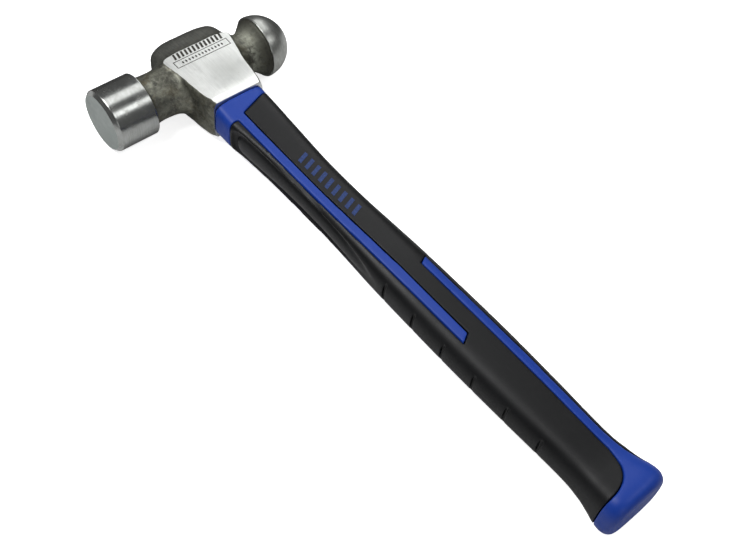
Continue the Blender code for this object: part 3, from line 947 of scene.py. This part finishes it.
def soft_grip():
    grip = handle_outside("soft_grip")
    combine(grip, ridges(), "UNION")
    combine(grip, blue_areas("areas", GAP))
    combine(grip, under_rubber("inner", 0.3))
    combine(grip, notches())
    combine(grip, flute())
    remesh(grip, GRIP_VOXEL)

    def beside_stripe(points):
        return between(points[:, 0], *STRIPE_SIDE_X) * between(points[:, 1], *STRIPE_SIDE_Y)

    def run_out(points):
        return between(points[:, 0], *RUN_OUT_X) * between(points[:, 1], *RUN_OUT_Y)

    relax(grip, 12, beside_stripe)
    relax(grip, 20, run_out)
    relax(grip, 3, everywhere)
    relax(grip, 4, everywhere, back=RELAX_BACK)
    decimate(grip, KEPT_FACES)
    return place(grip, [black_rubber()], MOULDED_SHARP)


def half_widths(x):
    """Front and rear half width of the handle at one place along it."""
    rows = smooth_rows(HANDLE, FINE_STEPS)
    for low, high in zip(rows, rows[1:]):
        if x <= high[0]:
            t = (x - low[0]) / (high[0] - low[0])
            return low[1] + (high[1] - low[1]) * t, low[2] + (high[2] - low[2]) * t


def ridges():
    """Crests that keep the front corners of the grip full between stripe and channels."""
    rows = [row for row in smooth_rows(HANDLE, FINE_STEPS)
            if RIDGE_START_X < row[0] < RIDGE_END_X]
    inner = RIDGE_INNER_Y
    sides = []
    for side in (1, -1):
        rings = []
        for x, front, _, thick, power in rows:
            outer = min(inner + RIDGE_WIDTH, front - RIDGE_INSET)
            z_inner, z_outer = [thick * (1 - (y / front) ** power) ** (1 / power)
                                for y in (inner, outer)]
            crest = z_inner - RIDGE_SLOPE * (outer - inner)
            z_outer += min(1.0, (RIDGE_END_X - x) / RIDGE_FADE) * max(0.0, crest - z_outer)
            corners = [(-inner, z_inner), (-outer, z_outer), (-outer, z_outer - RIDGE_ROOT),
                       (-inner + 2, z_inner - RIDGE_ROOT)]
            rings.append([(x, y, z * side) for y, z in corners])
        sides.append(loft("ridge", rings))
    return combine(sides[0], sides[1], "UNION")


def notches():
    outlines = []
    for i in range(NOTCH_COUNT):
        x = NOTCH_FIRST_X + NOTCH_PITCH * i
        left, right = x - NOTCH_WIDTH / 2, x + NOTCH_WIDTH / 2
        front, rear = half_widths(x)
        for edge, sign in ((front, -1), (rear, 1)):
            floor = sign * (edge - NOTCH_DEPTH)
            outlines.append([(left, floor), (right, floor), (right + NOTCH_FLARE, sign * PAST),
                             (left - NOTCH_FLARE, sign * PAST)])
    return prism("grip_notches", outlines, -PAST / 2, PAST / 2)


def flute():
    """The hollow along the front edge, less the crowned rib that stands in it."""
    channels, rib = [], []
    for x, height, depth in smooth_rows(FLUTE, 8):
        reach = depth + FLUTE_PROUD
        middle = -half_widths(x)[0] - FLUTE_PROUD
        channels.append([(x, middle + y, z) for _, y, z in
                         section(x, reach, reach, height, FLUTE_SQUARENESS, 96)])
    for x, height, crown, under in smooth_rows(RIB, 8):
        middle = -half_widths(x)[0] + crown + under
        rib.append([(x, middle + y, z) for _, y, z in
                    section(x, crown, crown, height, RIB_SQUARENESS, 96)])
    return combine(loft("front_flute", channels), loft("rib", rib))


def side_marks():
    """Rows of plain slanted bars inlaid on both broad sides of the grip."""
    skin = loft("side_marks", [section(x, front + MARK_PROUD, rear + MARK_PROUD,
                                       thick + MARK_PROUD, squareness)
                               for x, front, rear, thick, squareness
                               in smooth_rows(HANDLE, FINE_STEPS)])
    outlines = []
    for i in range(MARK_COUNT):
        x = MARK_FIRST_X + MARK_PITCH * i
        low, high = MARK_LOW_Y + MARK_DRIFT * i, MARK_HIGH_Y + MARK_DRIFT * i
        outlines.append([(x, low), (x + MARK_WIDTH, low), (x + MARK_WIDTH + MARK_SLANT, high),
                         (x + MARK_SLANT, high)])
    cutters = prism("bars_upper", outlines, MARK_DEPTH_Z, PAST)
    combine(cutters, prism("bars_lower", outlines, -PAST, -MARK_DEPTH_Z), "UNION")
    combine(skin, cutters, "INTERSECT")
    return place(skin, [mark_plastic()], MARK_SHARP)


# ----------------------------------------------------------------------- stage

def plane(name, height, tone, glow, shade):
    """A wide matt plane that glows a little, darker beside the bell by the part shade."""
    bm = bmesh.new()
    bmesh.ops.create_grid(bm, x_segments=1, y_segments=1, size=6.0)
    obj = mesh_object(name, bm)
    obj.location.z = height
    s = Surface(name + "_paint", Roughness=0.9, Specular_IOR_Level=0.1)
    mottled = s.mix(s.noise(40.0, 3, 0.5), [tone] * 3, [tone * 1.03] * 3)
    left = s.remap(s.axis("X"), AXIS_X + SHADE_X[0], AXIS_X + SHADE_X[1], shade, 0.0)
    beside = s.remap(s.axis("Y"), AXIS_Y + SHADE_Y[0], AXIS_Y + SHADE_Y[1])
    s.set("Base Color", s.mix(s.math("MULTIPLY", left, beside), mottled, (0.0, 0.0, 0.0)))
    s.shader.inputs["Emission Color"].default_value = (1, 1, 1, 1)
    s.shader.inputs["Emission Strength"].default_value = glow
    obj.data.materials.append(s.material)
    return obj


def stage():
    """White sweep for the eye, and a greyer table top for the light that it throws back."""
    floor = plane("floor", -0.0004, FLOOR_TONE, FLOOR_GLOW, 0.0)
    floor.visible_diffuse = False
    floor.visible_glossy = False
    floor.visible_shadow = False
    table = plane("table_bounce", -0.0006, TABLE_TONE, 0.0, TABLE_SHADE)
    table.visible_camera = False

    world = bpy.data.worlds.new("studio")
    bpy.context.scene.world = world
    world.use_nodes = True
    nodes, links = world.node_tree.nodes, world.node_tree.links
    background = nodes["Background"]
    background.inputs["Color"].default_value = (1, 1, 1, 1)
    path = nodes.new("ShaderNodeLightPath")
    strength = nodes.new("ShaderNodeMapRange")
    strength.inputs["To Min"].default_value = ROOM_LIGHT
    strength.inputs["To Max"].default_value = 1.0
    links.new(path.outputs["Is Camera Ray"], strength.inputs["Value"])
    links.new(strength.outputs[0], background.inputs["Strength"])


def softbox(name, toward, distance, width, length, radiance, centre):
    """Area light of a given radiance, facing the point it lights."""
    light = bpy.data.lights.new(name, "AREA")
    light.shape = "RECTANGLE"
    light.size = width
    light.size_y = length
    light.energy = radiance * math.pi * width * length
    obj = bpy.data.objects.new(name, light)
    bpy.context.scene.collection.objects.link(obj)
    away = Vector(toward).normalized()
    side = Vector((0, 1, 0)).cross(away).normalized()
    rotation = Matrix((side, away.cross(side), away)).transposed()
    obj.matrix_world = Matrix.Translation(Vector(centre) + away * distance) @ rotation.to_4x4()
    return obj


def lights():
    softbox("overhead", (-0.24, 0.30, 0.92), 0.9, 0.46, 1.1, 1.9, CROSSING)
    softbox("cheek_light", (-0.60, 0.62, 0.58), 0.9, 0.40, 0.34, 2.0, CROSSING)
    softbox("camera_side", (0.56, 0.40, 0.72), 0.9, 0.25, 0.9, 2.5, CROSSING)
    softbox("end_light", (0.86, -0.34, 0.42), 0.9, 0.34, 0.34, 2.6, (0.1, 0.0, 0.02))
    softbox("front_fill", (-0.38, -0.40, 0.84), 0.9, 0.60, 0.16, 18.0, (0.0, 0, 0.02))


def camera():
    data = bpy.data.cameras.new("camera")
    data.lens = LENS
    data.sensor_width = SENSOR
    data.shift_x, data.shift_y = SHIFT
    data.clip_start = 0.01
    obj = bpy.data.objects.new("camera", data)
    bpy.context.scene.collection.objects.link(obj)
    forward = Vector(CAMERA_FORWARD).normalized()
    side = forward.cross(Vector(CAMERA_UP)).normalized()
    rotation = Matrix((side, side.cross(forward), -forward)).transposed()
    obj.matrix_world = Matrix.Translation(CAMERA_PLACE) @ rotation.to_4x4()
    bpy.context.scene.camera = obj
    bpy.context.scene.view_settings.view_transform = "Standard"
    bpy.context.scene.view_settings.look = "None"


def keep_cad(node, material):
    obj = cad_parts[node]
    obj.data.materials.clear()
    obj.data.materials.append(material)


def main():
    for piece, node, slot_name in ((head(), "hammer_head", "forged_steel"),
                                   (blue_jacket(), "blue_jacket", "blue_plastic"),
                                   (soft_grip(), "soft_grip", "black_rubber")):
        piece.name = node + "_fine"
        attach(piece, "root")
        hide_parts(node)
    marks = side_marks()
    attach(marks, "root")
    keep_cad("fibreglass_core", fibreglass())
    keep_cad("eye_bond", epoxy_resin())
    stage()
    lights()
    camera()


main()
